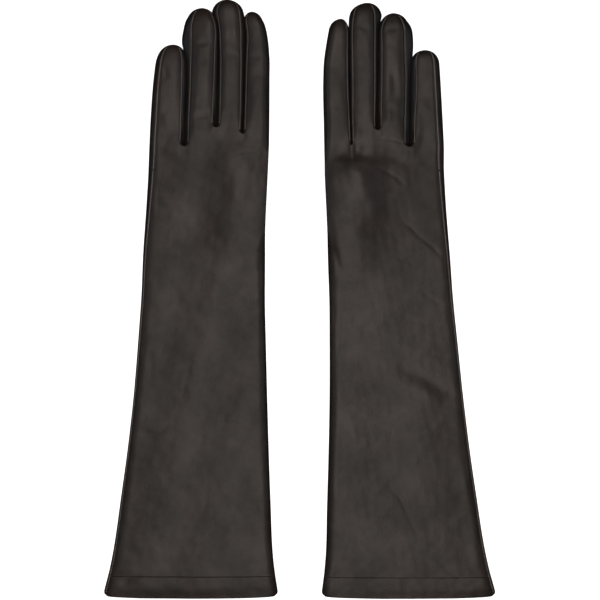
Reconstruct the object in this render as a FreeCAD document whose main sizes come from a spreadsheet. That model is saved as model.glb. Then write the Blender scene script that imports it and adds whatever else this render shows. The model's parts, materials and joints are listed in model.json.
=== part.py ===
import FreeCAD, Part
import os
import Sketcher

# A pair of long leather gloves laid flat side by side, palms down, fingers towards +Y.
# Millimetres. Each glove is drawn straight up +Y about its own centre line, then turned and
# moved to where it lies. Across a glove, u counts from the centre line to the little finger.

SIZES = [
    ("leather", 0.8, "thickness of the glove leather"),
    ("lining_gap", 0.1, "air between leather and lining"),
    ("lining", 0.4, "thickness of the silk lining"),
    ("seam_gap", 0.05, "gap between a side strip and its panel"),
    ("seam_rise", 0.35, "height of a seam above the leather"),
    ("seam_width", 0.9, "width of a seam"),
    ("fold_gap", 0.2, "half the gap between two pieces at a bend"),
    ("back_bend", 15.5, "slant of each face at a finger bend, degrees"),
    ("left_lean", 2.35, "turn of the left glove, degrees"),
    ("left_place", -71.3, "centre line of the left glove at mid length"),
    ("left_rise", 0.3, "the left glove's shift towards the fingertips"),
    ("left_drift", 0.4, "sideways drift of the left cuff"),
    ("left_curl", 0.0, "sideways drift of the left fingertips"),
    ("right_lean", 2.9, "turn of the right glove, degrees"),
    ("right_place", 67.4, "centre line of the right glove at mid length"),
    ("right_rise", -0.6, "the right glove's shift towards the fingertips"),
    ("right_drift", 2.2, "sideways drift of the right cuff"),
    ("right_curl", 1.2, "sideways drift of the right fingertips"),
    ("left_reach", 1.2, "extra length of the left fingers as they lie"),
    ("right_reach", -1.2, "extra length of the right fingers as they lie"),
    ("flare_length", 119.68, "length of the flared part of the sleeve"),
    ("cuff_width", 127, "flat width of the cuff"),
    ("hem_depth", 16, "depth of the turned-in hem"),
    ("hem_width", 121, "flat width at the top of the hem"),
    ("forearm_length", 128, "length of the sleeve from the flare to the wrist"),
    ("elbow_width", 102, "flat width there"),
    ("wrist_line", 28, "where the wrist bends"),
    ("wrist_width", 90, "flat width of the wrist"),
    ("sleeve_height", 8, "height of the sleeve as it lies"),
    ("hand_height", 7.5, "height of the hand over the thumb"),
    ("finger_height", 9, "height of a finger"),
    ("thumb_height", 7.2, "height of the thumb under the hand"),
    ("thumb_gap", 0.8, "gap between thumb and palm"),
    ("hand_width", 88, "flat width of the hand"),
    ("heel_length", 26, "distance from the wrist to the thumb's root"),
    ("heel_gap", 1.3, "distance between the palm's slope and the thumb's root"),
    ("toe_gap", 1.5, "distance between the thumb's tip and the palm's slope"),
    ("step_length", 11, "length of the slope down from the thumb to the fingers"),
    ("root_overlap", 2, "how far a finger's root runs into the hand"),
    ("index_width", 19.0, "flat width of the index finger at its base"),
    ("index_tip_width", 16.4, "its width near the tip"),
    ("index_gap", 0.7, "gap between index and middle finger at the crotch"),
    ("index_tip_gap", 1.4, "gap between them at the tip"),
    ("index_root", 20, "distance from the crotch to the bend"),
    ("index_length", 78, "distance from the bend to the tip"),
    ("middle_centre", -13.8, "centre of the middle finger at the crotch"),
    ("middle_width", 20.0, "flat width of the middle finger at its base"),
    ("middle_tip_width", 17.4, "its width near the tip"),
    ("middle_tip_centre", -8.6, "its centre at the tip"),
    ("middle_root", 24, "distance from the crotch to the bend"),
    ("middle_length", 82.9, "distance from the bend to the tip"),
    ("ring_width", 22.8, "flat width of the ring finger at its base"),
    ("ring_tip_width", 18.8, "its width near the tip"),
    ("ring_gap", 0.6, "gap between middle and ring finger at the crotch"),
    ("ring_tip_gap", 0.7, "gap between them at the tip"),
    ("ring_root", 24, "distance from the crotch to the bend"),
    ("ring_length", 76.4, "distance from the bend to the tip"),
    ("little_width", 23.0, "flat width of the little finger at its base"),
    ("little_tip_width", 18.8, "its width near the tip"),
    ("little_gap", 1.0, "gap between ring and little finger at the crotch"),
    ("little_tip_gap", 2.2, "gap between them at the tip"),
    ("little_root", 11, "distance from the crotch to the bend"),
    ("little_length", 61.9, "distance from the bend to the tip"),
    ("thumb_centre", -29, "centre of the thumb at its root"),
    ("thumb_width", 23.4, "flat width of the thumb"),
    ("thumb_tip_centre", -21, "centre of the thumb at its tip"),
    ("thumb_length", 45.5, "distance from the thumb's root to its tip"),
    ("thumb_hole", 8, "radius of the hole between hand and thumb"),
    ("strip_width", 3, "width of a side strip seen from above"),
    ("strip_stop", 9, "distance from a side strip's end to the fingertip"),
    ("side_seam_inset", 2, "distance from the sleeve's edge to its side seam"),
    ("palm_seam_inset", 2.5, "distance from the hand's edge to its side seam"),
    ("seam_start", 4, "distance from a bend to the first stitch"),
    ("thumb_seam_start", 9, "distance from the thumb's root to the first stitch"),
]
# Places along and across a glove that follow from the sizes above.
PLACES = [
    ("elbow_line", "wrist_line - forearm_length", "where the sleeve starts to flare"),
    ("cuff_end", "elbow_line - flare_length", "where the sleeve ends"),
    ("thumb_root", "wrist_line + heel_length", "where the thumb swings"),
    ("thumb_end", "thumb_root + thumb_length", "tip of the thumb"),
    ("raise_start", "thumb_root - thumb_width / 2 - heel_gap", "where the palm is on the thumb"),
    ("raise_end", "thumb_end + toe_gap", "where the palm steps down past the thumb"),
    ("crotch_line", "raise_end + step_length", "where the fingers part from the hand"),
    ("index_bend", "crotch_line + index_root", "where it bends"),
    ("index_end", "index_bend + index_length", "its tip"),
    ("middle_bend", "crotch_line + middle_root", "where it bends"),
    ("middle_end", "middle_bend + middle_length", "its tip"),
    ("ring_bend", "crotch_line + ring_root", "where it bends"),
    ("ring_end", "ring_bend + ring_length", "its tip"),
    ("little_bend", "crotch_line + little_root", "where it bends"),
    ("little_end", "little_bend + little_length", "its tip"),
    ("index_centre", "middle_centre - middle_width / 2 - index_gap - index_width / 2",
     "its centre at the crotch"),
    ("index_tip_centre",
     "middle_tip_centre - middle_tip_width / 2 - index_tip_gap - index_tip_width / 2",
     "its centre at the tip"),
    ("ring_centre", "middle_centre + middle_width / 2 + ring_gap + ring_width / 2",
     "its centre at the crotch"),
    ("ring_tip_centre",
     "middle_tip_centre + middle_tip_width / 2 + ring_tip_gap + ring_tip_width / 2",
     "its centre at the tip"),
    ("little_centre", "ring_centre + ring_width / 2 + little_gap + little_width / 2",
     "its centre at the crotch"),
    ("little_tip_centre",
     "ring_tip_centre + ring_tip_width / 2 + little_tip_gap + little_tip_width / 2",
     "its centre at the tip"),
]
FINGERS = ["index", "middle", "ring", "little"]
STRIPS = {
    "index": {"index_fourchette": 1},
    "middle": {"middle_fourchette_index_side": -1, "middle_fourchette_ring_side": 1},
    "ring": {"ring_fourchette_middle_side": -1, "ring_fourchette_little_side": 1},
    "little": {"little_fourchette": -1},
}
# Rounded tips: distance from the end, share of the width, height of the underside, share of the
# thickness. The thumb's heel: distance behind the root and width, as shares of the thumb's width.
FINGER_TIP = [(3, 0.76, 0.6, 0.8), (0, 0.45, 2, 0.5)]
THUMB_TIP = [(3, 0.7, 0.3, 0.85), (0, 0.42, 1.2, 0.6)]
THUMB_SHOULDER = (10, 0.9)
THUMB_HEEL = [(0.43, 0.5), (0.26, 0.84)]
HEM_DRIFT, ELBOW_DRIFT = 0.8, 0.1
REACH = 400
EVERYTHING = [(-REACH, -REACH), (REACH, -REACH), (REACH, REACH), (-REACH, REACH)]
STRIP_OVERCUT = 6

doc = FreeCAD.newDocument("Gloves")
sheet = doc.addObject("Spreadsheet::Sheet", "Sizes")


def fill_sheet():
    """One row per size or place: its name, its value or formula, and what it is."""
    formulas = [(name, f"={rule}", note) for name, rule, note in PLACES]
    for row, (name, value, note) in enumerate(SIZES + formulas, start=1):
        sheet.set(f"A{row}", name)
        sheet.set(f"B{row}", str(value))
        sheet.set(f"C{row}", note)
        sheet.setAlias(f"B{row}", name)
    doc.recompute()


def of(text):
    """An expression in the sheet's names, written without the sheet: '@cuff_width / 2'."""
    return text.replace("@", "Sizes.")


def new_body(side, name):
    """A body that lies where its glove lies. Side is 'left' or 'right'."""
    body = doc.addObject("PartDesign::Body", f"{side}_{name}")
    body.Label = f"{side}_{name}"
    turn = FreeCAD.Rotation(FreeCAD.Vector(0, 0, 1), 1)
    body.Placement = FreeCAD.Placement(FreeCAD.Vector(), turn)
    sign = "-" if side == "left" else ""
    body.setExpression(".Placement.Base.x", of(f"@{side}_place"))
    body.setExpression(".Placement.Base.y", of(f"@{side}_rise"))
    body.setExpression(".Placement.Rotation.Angle", of(f"{sign}@{side}_lean"))
    return body


def plane_of(body, role):
    return [part for part in body.Origin.OriginFeatures if part.Role == role][0]


def new_sketch(body, role):
    sketch = body.newObject("Sketcher::SketchObject", "Section")
    sketch.AttachmentSupport = [(plane_of(body, role), "")]
    sketch.MapMode = "FlatFace"
    return sketch


def slot(body, side, place, inset):
    """A flat tube's section: two round edges joined by straight lines, at one place along it."""
    sketch = new_sketch(body, "XZ_Plane")
    # A section leans about its own level line at a bend, or turns about the vertical at the cuff.
    pivot = FreeCAD.Vector(0, 1, 0) if "turn" in place else FreeCAD.Vector(-1, 0, 0)
    angle = place.get("turn", place.get("tilt", "0"))
    sketch.AttachmentOffset = FreeCAD.Placement(FreeCAD.Vector(), FreeCAD.Rotation(pivot, 1))
    shift = f"({inset}) * ({place.get('closed', 0)})"
    sketch.setExpression(".AttachmentOffset.Base.z", of(f"-({place['v']}) + {shift}"))
    sketch.setExpression(".AttachmentOffset.Rotation.Angle", of(angle))
    sign = "-1" if side == "left" else "1"
    reach = f"(({place['half']}) - ({place['round']}))"
    rules = {
        "low": of(f"{sign} * ({place['u']}) - {reach}"),
        "high": of(f"{sign} * ({place['u']}) + {reach}"),
        "level": of(f"({place['z']}) + ({place['round']})"),
        "bow": of(f"({place['round']}) - ({inset})"),
    }
    low, high, level, bow = [float(sketch.evalExpression(text)) for text in rules.values()]
    up, down = FreeCAD.Vector(0, 1, 0), FreeCAD.Vector(0, -1, 0)
    left, right = FreeCAD.Vector(low, level, 0), FreeCAD.Vector(high, level, 0)
    out = FreeCAD.Vector(bow, 0, 0)
    sketch.addGeometry([
        Part.Arc(left + up * bow, left - out, left + down * bow),
        Part.LineSegment(left + down * bow, right + down * bow),
        Part.Arc(right + down * bow, right + out, right + up * bow),
        Part.LineSegment(right + up * bow, left + up * bow),
    ])
    # Both arcs run anticlockwise, so each one ends where the next line starts.
    joins = [(0, 2, 1, 1), (1, 2, 2, 1), (2, 2, 3, 1), (3, 2, 0, 1)]
    for one, end, other, start in joins:
        sketch.addConstraint(Sketcher.Constraint("Tangent", one, end, other, start))
    sketch.addConstraint(Sketcher.Constraint("Equal", 0, 2))
    for name, rule in {
        "low": Sketcher.Constraint("DistanceX", 0, 3, low),
        "level": Sketcher.Constraint("DistanceY", 0, 3, level),
        "high": Sketcher.Constraint("DistanceX", 2, 3, high),
        "bow": Sketcher.Constraint("Radius", 0, bow),
    }.items():
        index = sketch.addConstraint(rule)
        sketch.renameConstraint(index, name)
        sketch.setExpression(f"Constraints.{name}", rules[name])
    sketch.addConstraint(Sketcher.Constraint("Horizontal", 3))
    return sketch


def loft(body, side, kind, places, inset):
    """A straight-sided loft through slots, added to the body or taken out of it."""
    sections = [slot(body, side, place, inset) for place in places]
    feature = body.newObject(f"PartDesign::{kind}Loft", kind)
    feature.Profile = sections[0]
    feature.Sections = sections[1:]
    feature.Ruled = True
    feature.Refine = False


def outline(sketch, side, corners):
    """A closed polygon in plan. Each corner is a pair of expressions, (u, v)."""
    sign = "-1" if side == "left" else "1"
    rules = [(of(f"{sign} * ({u})"), of(str(v))) for u, v in corners]
    points = [[float(sketch.evalExpression(text)) for text in rule] for rule in rules]
    first = sketch.GeometryCount
    for index, point in enumerate(points):
        after = points[(index + 1) % len(points)]
        sketch.addGeometry(Part.LineSegment(FreeCAD.Vector(*point, 0), FreeCAD.Vector(*after, 0)))
    for index, point in enumerate(points):
        line, after = first + index, first + (index + 1) % len(points)
        sketch.addConstraint(Sketcher.Constraint("Coincident", line, 2, after, 1))
        for axis, value, text in zip("XY", point, rules[index]):
            rule = sketch.addConstraint(Sketcher.Constraint(f"Distance{axis}", line, 1, value))
            sketch.setExpression(f"Constraints[{rule}]", text)


def cut_plan(body, side, shapes, keep=False, height=None):
    """Cuts polygons seen from above right through, or keeps only what lies inside them.

    With a height, it cuts only what lies below it."""
    sketch = new_sketch(body, "XY_Plane")
    if keep:
        outline(sketch, side, EVERYTHING)
    for corners in shapes:
        outline(sketch, side, corners)
    pocket = body.newObject("PartDesign::Pocket", "Pocket")
    pocket.Profile = sketch
    pocket.Type = "ThroughAll"
    if height is None:
        pocket.SideType = "Symmetric"
    else:
        sketch.setExpression(".AttachmentOffset.Base.z", of(height))


def cut_hole(body, side, floor, depth):
    """The round hole between hand and thumb, cut up through one wall from a level."""
    sketch = new_sketch(body, "XY_Plane")
    sketch.setExpression(".AttachmentOffset.Base.z", of(floor))
    sign = "-1" if side == "left" else "1"
    rules = {"across": of(f"{sign} * @thumb_centre"), "along": of("@thumb_root"),
             "bore": of("@thumb_hole")}
    across, along, bore = [float(sketch.evalExpression(text)) for text in rules.values()]
    sketch.addGeometry(Part.Circle(FreeCAD.Vector(across, along, 0), FreeCAD.Vector(0, 0, 1), bore))
    for name, rule in {
        "across": Sketcher.Constraint("DistanceX", 0, 3, across),
        "along": Sketcher.Constraint("DistanceY", 0, 3, along),
        "bore": Sketcher.Constraint("Radius", 0, bore),
    }.items():
        sketch.renameConstraint(sketch.addConstraint(rule), name)
        sketch.setExpression(f"Constraints.{name}", rules[name])
    pocket = body.newObject("PartDesign::Pocket", "Hole")
    pocket.Profile = sketch
    pocket.Reversed = True
    pocket.setExpression("Length", of(depth))


def sleeve_places(side):
    """Sections of the sleeve, from the cuff, which lies square to the pair, to the wrist."""
    drift = f"@{side}_drift"
    square = f"@{side}_lean * {1 if side == 'left' else -1}"
    tube = {"z": "0", "round": "@sleeve_height / 2"}
    hem = "@cuff_end + @hem_depth"
    return [
        {"v": "@cuff_end", "u": drift, "half": "@cuff_width / 2", "turn": square, **tube},
        {"v": hem, "u": f"{drift} * {HEM_DRIFT}", "half": "@hem_width / 2", "turn": square, **tube},
        {"v": "@elbow_line", "u": f"{drift} * {ELBOW_DRIFT}", "half": "@elbow_width / 2", **tube},
        {"v": "@wrist_line - @fold_gap", "u": "0", "half": "@wrist_width / 2", **tube},
    ]


def palm_places():
    """Sections of the hand: up on to the thumb behind the wrist, and down again at the fingers."""
    lift = "@thumb_height + @thumb_gap"
    over = {"u": "0", "half": "@hand_width / 2", "z": lift, "round": "@hand_height / 2"}
    return [
        {"v": "@wrist_line + @fold_gap", "u": "0", "half": "@wrist_width / 2",
         "z": "0", "round": "@sleeve_height / 2"},
        {"v": "@raise_start", **over},
        {"v": "@raise_end", **over},
        {"v": "@crotch_line", "u": "0", "half": "@hand_width / 2",
         "z": "0", "round": "@finger_height / 2", "closed": 1},
    ]


def stump_places(finger):
    """The short stretch of a finger that belongs to the hand, from its root to its bend."""
    tube = {"u": f"@{finger}_centre", "half": f"@{finger}_width / 2",
            "z": "0", "round": "@finger_height / 2"}
    return [
        {"v": "@crotch_line - @root_overlap", **tube},
        {"v": f"@{finger}_bend - @fold_gap", "tilt": "-@back_bend", **tube},
    ]


def end_of(side, finger):
    """A finger's tip as it lies in one glove or the other."""
    return f"(@{finger}_end + @{side}_reach)"


def shoulder(side, finger):
    """Where a finger starts to round off towards its tip."""
    return f"({end_of(side, finger)} - @strip_stop)"


def finger_places(side, finger):
    """Sections of a finger, from its bend to its rounded tip."""
    end, tip = end_of(side, finger), f"@{finger}_tip_centre + @{side}_curl"
    half, bow = f"@{finger}_tip_width / 2", "@finger_height / 2"
    return [
        {"v": f"@{finger}_bend + @fold_gap", "tilt": "@back_bend", "u": f"@{finger}_centre",
         "half": f"@{finger}_width / 2", "z": "0", "round": bow},
        {"v": shoulder(side, finger), "u": tip, "half": half, "z": "0", "round": bow},
    ] + rounded(FINGER_TIP, end, tip, half, bow)


def rounded(shares, end, centre, half, bow):
    """Sections that round off a tip."""
    return [{"v": f"{end} - {back}", "u": centre, "half": f"{half} * {width}", "z": str(rise),
             "round": f"{bow} * {thickness}", "closed": 1}
            for back, width, rise, thickness in shares]


def thumb_places():
    """Sections of the thumb, folded flat under the hand."""
    half, bow = "@thumb_width / 2", "@thumb_height / 2"
    flat = {"z": "0", "round": bow}
    heel = [{"v": f"@thumb_root - @thumb_width * {back}", "u": "@thumb_centre",
             "half": f"{half} * {width}", **flat} for back, width in THUMB_HEEL]
    back, width = THUMB_SHOULDER
    return heel + [
        {"v": "@thumb_root", "u": "@thumb_centre", "half": half, **flat},
        {"v": f"@thumb_end - {back}", "u": "@thumb_tip_centre", "half": f"{half} * {width}", **flat},
    ] + rounded(THUMB_TIP, "@thumb_end", "@thumb_tip_centre", half, bow)


def tube(side, name, groups, start, wall):
    """A hollow tube: outer lofts less inner ones, with a wall that starts at an inset."""
    body = new_body(side, name)
    for places in groups:
        loft(body, side, "Additive", places, start)
    for places in groups:
        loft(body, side, "Subtractive", places, f"{start} + {wall}")
    return body


def strip_corners(side, finger, turn, gap="0"):
    """The four corners of a side strip. Turn is 1 on the little finger's side, else -1."""
    base = f"@{finger}_centre + {turn} * (@{finger}_width / 2 - @strip_width + {gap})"
    tip = (f"@{finger}_tip_centre + @{side}_curl"
           f" + {turn} * (@{finger}_tip_width / 2 - @strip_width + {gap})")
    start, stop = f"@{finger}_bend - @root_overlap", f"{shoulder(side, finger)} - {gap}"
    far = f"{turn * STRIP_OVERCUT}"
    return [(base, start), (f"{base} + {far}", start), (f"{tip} + {far}", stop), (tip, stop)]


def seam_corners(points):
    """A narrow strip either side of a line through points, each a pair of expressions (u, v)."""
    half = "@seam_width / 2"
    inner = [(f"{u} - {half}", v) for u, v in points]
    outer = [(f"{u} + {half}", v) for u, v in points]
    return inner + outer[::-1]


def finger_seam_lines(side, finger):
    """Where a finger's seams run, at its base and at its tip."""
    lines = []
    turns = list(STRIPS[finger].values())
    if finger == "little":
        turns.append(1)
    for turn in turns:
        base = f"@{finger}_centre + {turn} * (@{finger}_width / 2 - @strip_width)"
        tip = (f"@{finger}_tip_centre + @{side}_curl"
               f" + {turn} * (@{finger}_tip_width / 2 - @strip_width)")
        lines.append((base, tip))
    return lines


def seam(side, name, places, shapes, height):
    """A raised seam that hugs a tube's upper side along narrow strips."""
    body = new_body(side, name)
    loft(body, side, "Additive", places, "-@seam_rise")
    loft(body, side, "Subtractive", places, "0")
    cut_plan(body, side, shapes, keep=True)
    cut_plan(body, side, [EVERYTHING], height=height)
    return body


def make_sleeve(side):
    """The long sleeve with its turned-in hem, its lining and its side seam."""
    places = sleeve_places(side)
    inside = "@leather + @lining_gap"
    tube(side, "sleeve_leather", [places], "0", "@leather")
    hem = sleeve_places(side)[:2]
    hem[1]["v"] = "@cuff_end + @hem_depth - @seam_gap"
    tube(side, "cuff_hem", [hem], "@leather + @seam_gap", "@leather")
    tube(side, "sleeve_lining", [places[1:]], inside, "@lining")
    line = [(f"{place['u']} + {place['half']} - @side_seam_inset", place["v"]) for place in places]
    line[0] = (line[0][0], "@cuff_end + @side_seam_inset")
    seam(side, "sleeve_side_seam", places, [seam_corners(line)], "@sleeve_height / 2")


def make_hand(side):
    """The hand's trank with the roots of four fingers, its lining and its side seam."""
    groups = [palm_places()] + [stump_places(finger) for finger in FINGERS]
    inside = "@leather + @lining_gap"
    shell = tube(side, "hand_leather", groups, "0", "@leather")
    roof = "@thumb_height + @thumb_gap + @hand_height / 2"
    cut_hole(shell, side, "0", roof)
    cloth = tube(side, "hand_lining", groups, inside, "@lining")
    cut_hole(cloth, side, "0", roof)
    line = [("@wrist_width / 2 - @palm_seam_inset", "@raise_start"),
            ("@hand_width / 2 - @palm_seam_inset", "@raise_end")]
    seam(side, "hand_side_seam", palm_places(), [seam_corners(line)], roof)


def make_finger(side, finger):
    """One finger: its trank panel, its fourchettes, its lining and its seams."""
    places = finger_places(side, finger)
    panel = tube(side, f"{finger}_leather", [places], "0", "@leather")
    cut_plan(panel, side, [strip_corners(side, finger, turn) for turn in STRIPS[finger].values()])
    for name, turn in STRIPS[finger].items():
        strip = tube(side, name, [places], "0", "@leather")
        cut_plan(strip, side, [strip_corners(side, finger, turn, "@seam_gap")], keep=True)
    tube(side, f"{finger}_lining", [places], "@leather + @lining_gap", "@lining")
    stop = shoulder(side, finger)
    shapes = [seam_corners([(base, f"@{finger}_bend + @seam_start"), (tip, stop)])
              for base, tip in finger_seam_lines(side, finger)]
    seam(side, f"{finger}_seams", places, shapes, "@finger_height / 2")


def make_thumb(side):
    """The thumb with its lining and its outer seam, open to the hand through a round hole."""
    places = thumb_places()
    shell = tube(side, "thumb_leather", [places], "0", "@leather")
    cloth = tube(side, "thumb_lining", [places], "@leather + @lining_gap", "@lining")
    for body in (shell, cloth):
        cut_hole(body, side, "@thumb_height / 2", "@thumb_height / 2")
    back, width = THUMB_SHOULDER
    line = [("@thumb_centre - @thumb_width / 2 + @side_seam_inset",
             "@thumb_root + @thumb_seam_start"),
            (f"@thumb_tip_centre - @thumb_width / 2 * {width} + @side_seam_inset",
             f"@thumb_end - {back}")]
    seam(side, "thumb_seam", places, [seam_corners(line)], "@thumb_height / 2")


def check_and_save():
    """Stops on any failed object or bad shape, then writes one file per sub-part."""
    failed = [item.Label for item in doc.Objects
              if "Invalid" in item.State or "Error" in item.State]
    bodies = [item for item in doc.Objects if item.TypeId == "PartDesign::Body"]
    for body in bodies:
        shape = body.Shape
        if shape.isNull() or not shape.isValid() or shape.Volume <= 0:
            failed.append(body.Label)
    if failed:
        raise RuntimeError(f"failed: {failed}")
    os.makedirs("parts", exist_ok=True)
    for body in bodies:
        body.Shape.exportStep(f"parts/{body.Label}.step")
        print(f"{body.Label}: {len(body.Shape.Solids)} solids, {body.Shape.Volume:.0f} mm3")


fill_sheet()
for glove in ("left", "right"):
    make_sleeve(glove)
    make_hand(glove)
    for digit in FINGERS:
        make_finger(glove, digit)
    make_thumb(glove)
doc.recompute()
check_and_save()
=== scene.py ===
import json
import math
import random

import bmesh
import bpy
import numpy as np
from mathutils import Matrix, Vector


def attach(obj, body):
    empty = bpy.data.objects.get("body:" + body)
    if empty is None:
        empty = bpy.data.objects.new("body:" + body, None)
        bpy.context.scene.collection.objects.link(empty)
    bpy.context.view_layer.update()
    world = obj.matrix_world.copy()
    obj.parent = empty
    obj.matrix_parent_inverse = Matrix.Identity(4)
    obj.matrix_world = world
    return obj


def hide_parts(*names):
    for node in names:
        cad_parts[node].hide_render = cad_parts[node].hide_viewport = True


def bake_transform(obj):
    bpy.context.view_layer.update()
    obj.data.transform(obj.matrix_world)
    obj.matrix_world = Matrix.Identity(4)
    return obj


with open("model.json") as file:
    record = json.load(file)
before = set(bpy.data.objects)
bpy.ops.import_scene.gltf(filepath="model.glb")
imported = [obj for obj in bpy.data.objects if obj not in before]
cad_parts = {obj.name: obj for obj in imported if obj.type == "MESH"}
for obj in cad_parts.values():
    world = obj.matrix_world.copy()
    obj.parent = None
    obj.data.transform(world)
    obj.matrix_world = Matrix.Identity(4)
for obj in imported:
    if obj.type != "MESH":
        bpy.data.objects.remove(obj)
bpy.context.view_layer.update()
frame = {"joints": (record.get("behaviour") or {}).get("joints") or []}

bl_info = {
    "name": "Long Leather Gloves",
    "version": (1, 0, 0),
    "blender": (4, 5, 0),
    "location": "View3D > Sidebar > Gloves",
    "description": "Dresses a pair of long leather gloves over their pattern frame",
    "category": "Object",
}

MM = 0.001
SIDES = ("left", "right")
FINGERS = ("index", "middle", "ring", "little")
JOINTS = {joint["name"]: joint for joint in frame["joints"]}

# Across a glove, u counts from its centre line to the little finger. Along it, y counts from the
# wrist to the fingertips. Both are in millimetres, and z counts up from the surface it lies on.
WIDTHS = [(-249, 64.9), (-237, 62.6), (-220, 59.7), (-176, 55.3), (-131, 51.5), (-102, 49.5),
          (-57, 47.1), (-27, 45.7), (0, 45.2), (32, 44.4), (60, 44.2), (78, 44.2), (105, 43.9)]
DRIFT = {"left": [(-248, 0.5), (-100, -0.8), (-30, 0.2), (15, 0.9), (60, 0.4), (105, 0.3)],
         "right": [(-248, 2.0), (-180, 0.4), (-60, 0.0), (20, -0.2), (60, -0.4), (105, 0.3)]}
CUFF_END = {"left": -248.6, "right": -247.9}
HAND_END = 66.0
SPLITS = {"left": (-24.0, -4.4, 18.4), "right": (-24.2, -3.9, 18.6)}
SLITS = {"left": [(-24.3, 95.2), (-4.4, 99.0), (18.5, 84.3)],
         "right": [(-24.2, 88.0), (-3.8, 98.0), (19.2, 84.5)]}
# Each finger, from its root to its tip: rows of y, then, on the index finger's side, the foot of
# its side strip and its seam, then its seam and the foot of its strip on the other side.
EDGES = {
    "left": {
        "index": [(84, -43.9, -43.9, -25.4, -24.1), (102, -43.4, -43.4, -25.4, -24.1),
                  (135, -42.2, -42.2, -25.1, -23.5), (152, -41.5, -41.5, -24.9, -23.1),
                  (172, -38.4, -38.4, -24.3, -22.5), (180, -36.0, -36.0, -22.6, -20.8)],
        "middle": [(84, -23.9, -22.8, -7.4, -5.0), (102, -23.9, -22.3, -6.8, -4.6),
                   (135, -23.3, -21.5, -6.2, -4.2), (151, -22.9, -21.0, -5.6, -3.8),
                   (161, -22.6, -20.5, -4.9, -3.3), (172, -22.3, -19.9, -3.9, -2.3),
                   (185, -20.8, -18.4, -1.2, 2.2)],
        "ring": [(84, -4.9, -2.0, 16.0, 18.5), (102, -4.4, -1.8, 16.1, 18.8),
                 (135, -4.1, -1.75, 16.2, 19.0), (151, -3.8, -1.7, 16.5, 20.6),
                 (161, -3.3, -1.6, 16.7, 23.2), (172, -2.4, -1.2, 16.9, 22.2),
                 (180, -1.2, 0.4, 16.4, 20.6)],
        "little": [(84, 18.7, 20.9, 44.5, 44.5), (102, 18.9, 21.2, 44.4, 44.4),
                   (135, 19.1, 21.7, 43.3, 43.3), (150, 19.6, 22.2, 42.0, 42.0)],
    },
    "right": {
        "index": [(84, -43.9, -43.9, -24.6, -23.9), (102, -43.3, -43.3, -24.4, -23.5),
                  (136, -42.1, -42.1, -24.2, -22.6), (150, -40.9, -40.9, -23.6, -22.2),
                  (172, -36.6, -36.6, -22.3, -21.2)],
        "middle": [(84, -23.7, -23.0, -6.6, -4.6), (102, -23.3, -22.4, -6.0, -4.0),
                   (136, -22.4, -20.7, -3.8, -1.7), (150, -22.1, -20.2, -3.2, -0.9),
                   (161, -21.6, -19.8, -2.6, -0.1), (172, -21.0, -19.3, -2.0, 0.6),
                   (183, -20.2, -17.8, -1.6, 3.4)],
        "ring": [(84, -4.4, -2.6, 15.8, 19.2), (102, -3.8, -1.8, 16.6, 20.4),
                 (136, -1.6, 0.6, 19.0, 22.4), (150, -0.8, 1.4, 19.2, 24.2),
                 (161, -0.1, 1.9, 19.4, 25.4), (172, 0.5, 2.4, 19.6, 24.8),
                 (178, 1.2, 3.4, 19.2, 23.2)],
        "little": [(84, 19.3, 21.6, 44.6, 44.6), (102, 20.6, 22.9, 44.6, 44.6),
                   (128, 22.4, 25.8, 44.5, 44.5), (147, 23.4, 26.2, 44.3, 44.3)],
    },
}
# Each fingertip: where it ends, how long it takes to round off, and how far it leans.
TIPS = {"left": {"index": (185.6, 11, 1.8), "middle": (193.8, 12, 0.8), "ring": (186.8, 13, -0.2),
                 "little": (159.0, 15, -1.6)},
        "right": {"index": (181.6, 12, 2.2), "middle": (192.4, 12, 1.6), "ring": (183.8, 14, -0.4),
                  "little": (155.4, 11, -0.6)}}
STRIPS = {
    "index": {"index_fourchette": 1},
    "middle": {"middle_fourchette_index_side": -1, "middle_fourchette_ring_side": 1},
    "ring": {"ring_fourchette_middle_side": -1, "ring_fourchette_little_side": 1},
    "little": {"little_fourchette": -1},
}
TOP_COLUMNS = 30
BOTTOM_COLUMNS = 15
STRIP_COLUMNS = 8
STRIP_LAP = 0.5
SIDE_SEAM = [(-249, 1.7), (-60, 1.5), (0, 2.2), (40, 3.2), (80, 4.3), (150, 4.4)]
# Height of the upper leather along the glove, from the cuff to the fingers.
BODY = [(-249, 4.8), (-238, 6.2), (-200, 7.5), (-60, 8.0), (0, 7.8), (60, 8.0), (105, 8.6)]
# A side strip's profile: how far it has come from its seam to its foot, and its height there.
STRIP_PROFILE = ((0.16, 7.0), (0.5, 6.0), (0.86, 4.8), (1.0, 3.5))
# The cuff's fold, turning inwards: the step past the cuff's end and the depth under the leather.
CUFF_FOLD = ((0, 0), (-0.25, 0.12), (-0.35, 0.4), (-0.2, 0.7), (0.4, 0.85))
# The leather's unevenness: how many waves, how long and how high.
WAVES = ((7, 52, 0.14), (9, 21, 0.03), (12, 9, 0.012))
# A slit rounds off over its first length, and the fingers part from the hand a little before it.
SLIT_ROUND = 4.6
PARTING = 14.0
HEM_TOP = -231.8
LINING_START = -233.0
LINING_END = 77.6134
LINING_GAP = 1.5
LINING_WIDTH = 0.84
LINING_HEIGHT = 0.72
# Stitches on a finger's two seams: their share of the way across, and their height over it.
STITCH_PLACE = {-1: (0.03, 0.3), 1: (0.985, 0.1)}
# In metres, the length of glove that fills the camera's view, and the height it is measured at.
PICTURE_LENGTH = 0.4426
PICTURE_LEVEL = 0.0045
THUMB = {"root": (-29.0, 26.0), "tip": (-21.0, 71.5), "half": 11.7, "height": 7.2,
         "swing": (11, 22, 34, 45), "bulge": {"left": 3.2, "right": 5.0}, "spread": 24.0}
# The palm over the thumb: how high it stands, how far to each side, and how long it slopes down.
PALM_LEVEL = 8.1
PALM_REACH = 12.6
PALM_SLOPE = 10.0
SEAM_TOP = 7.9
MID_HEIGHT = 4.4


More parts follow.
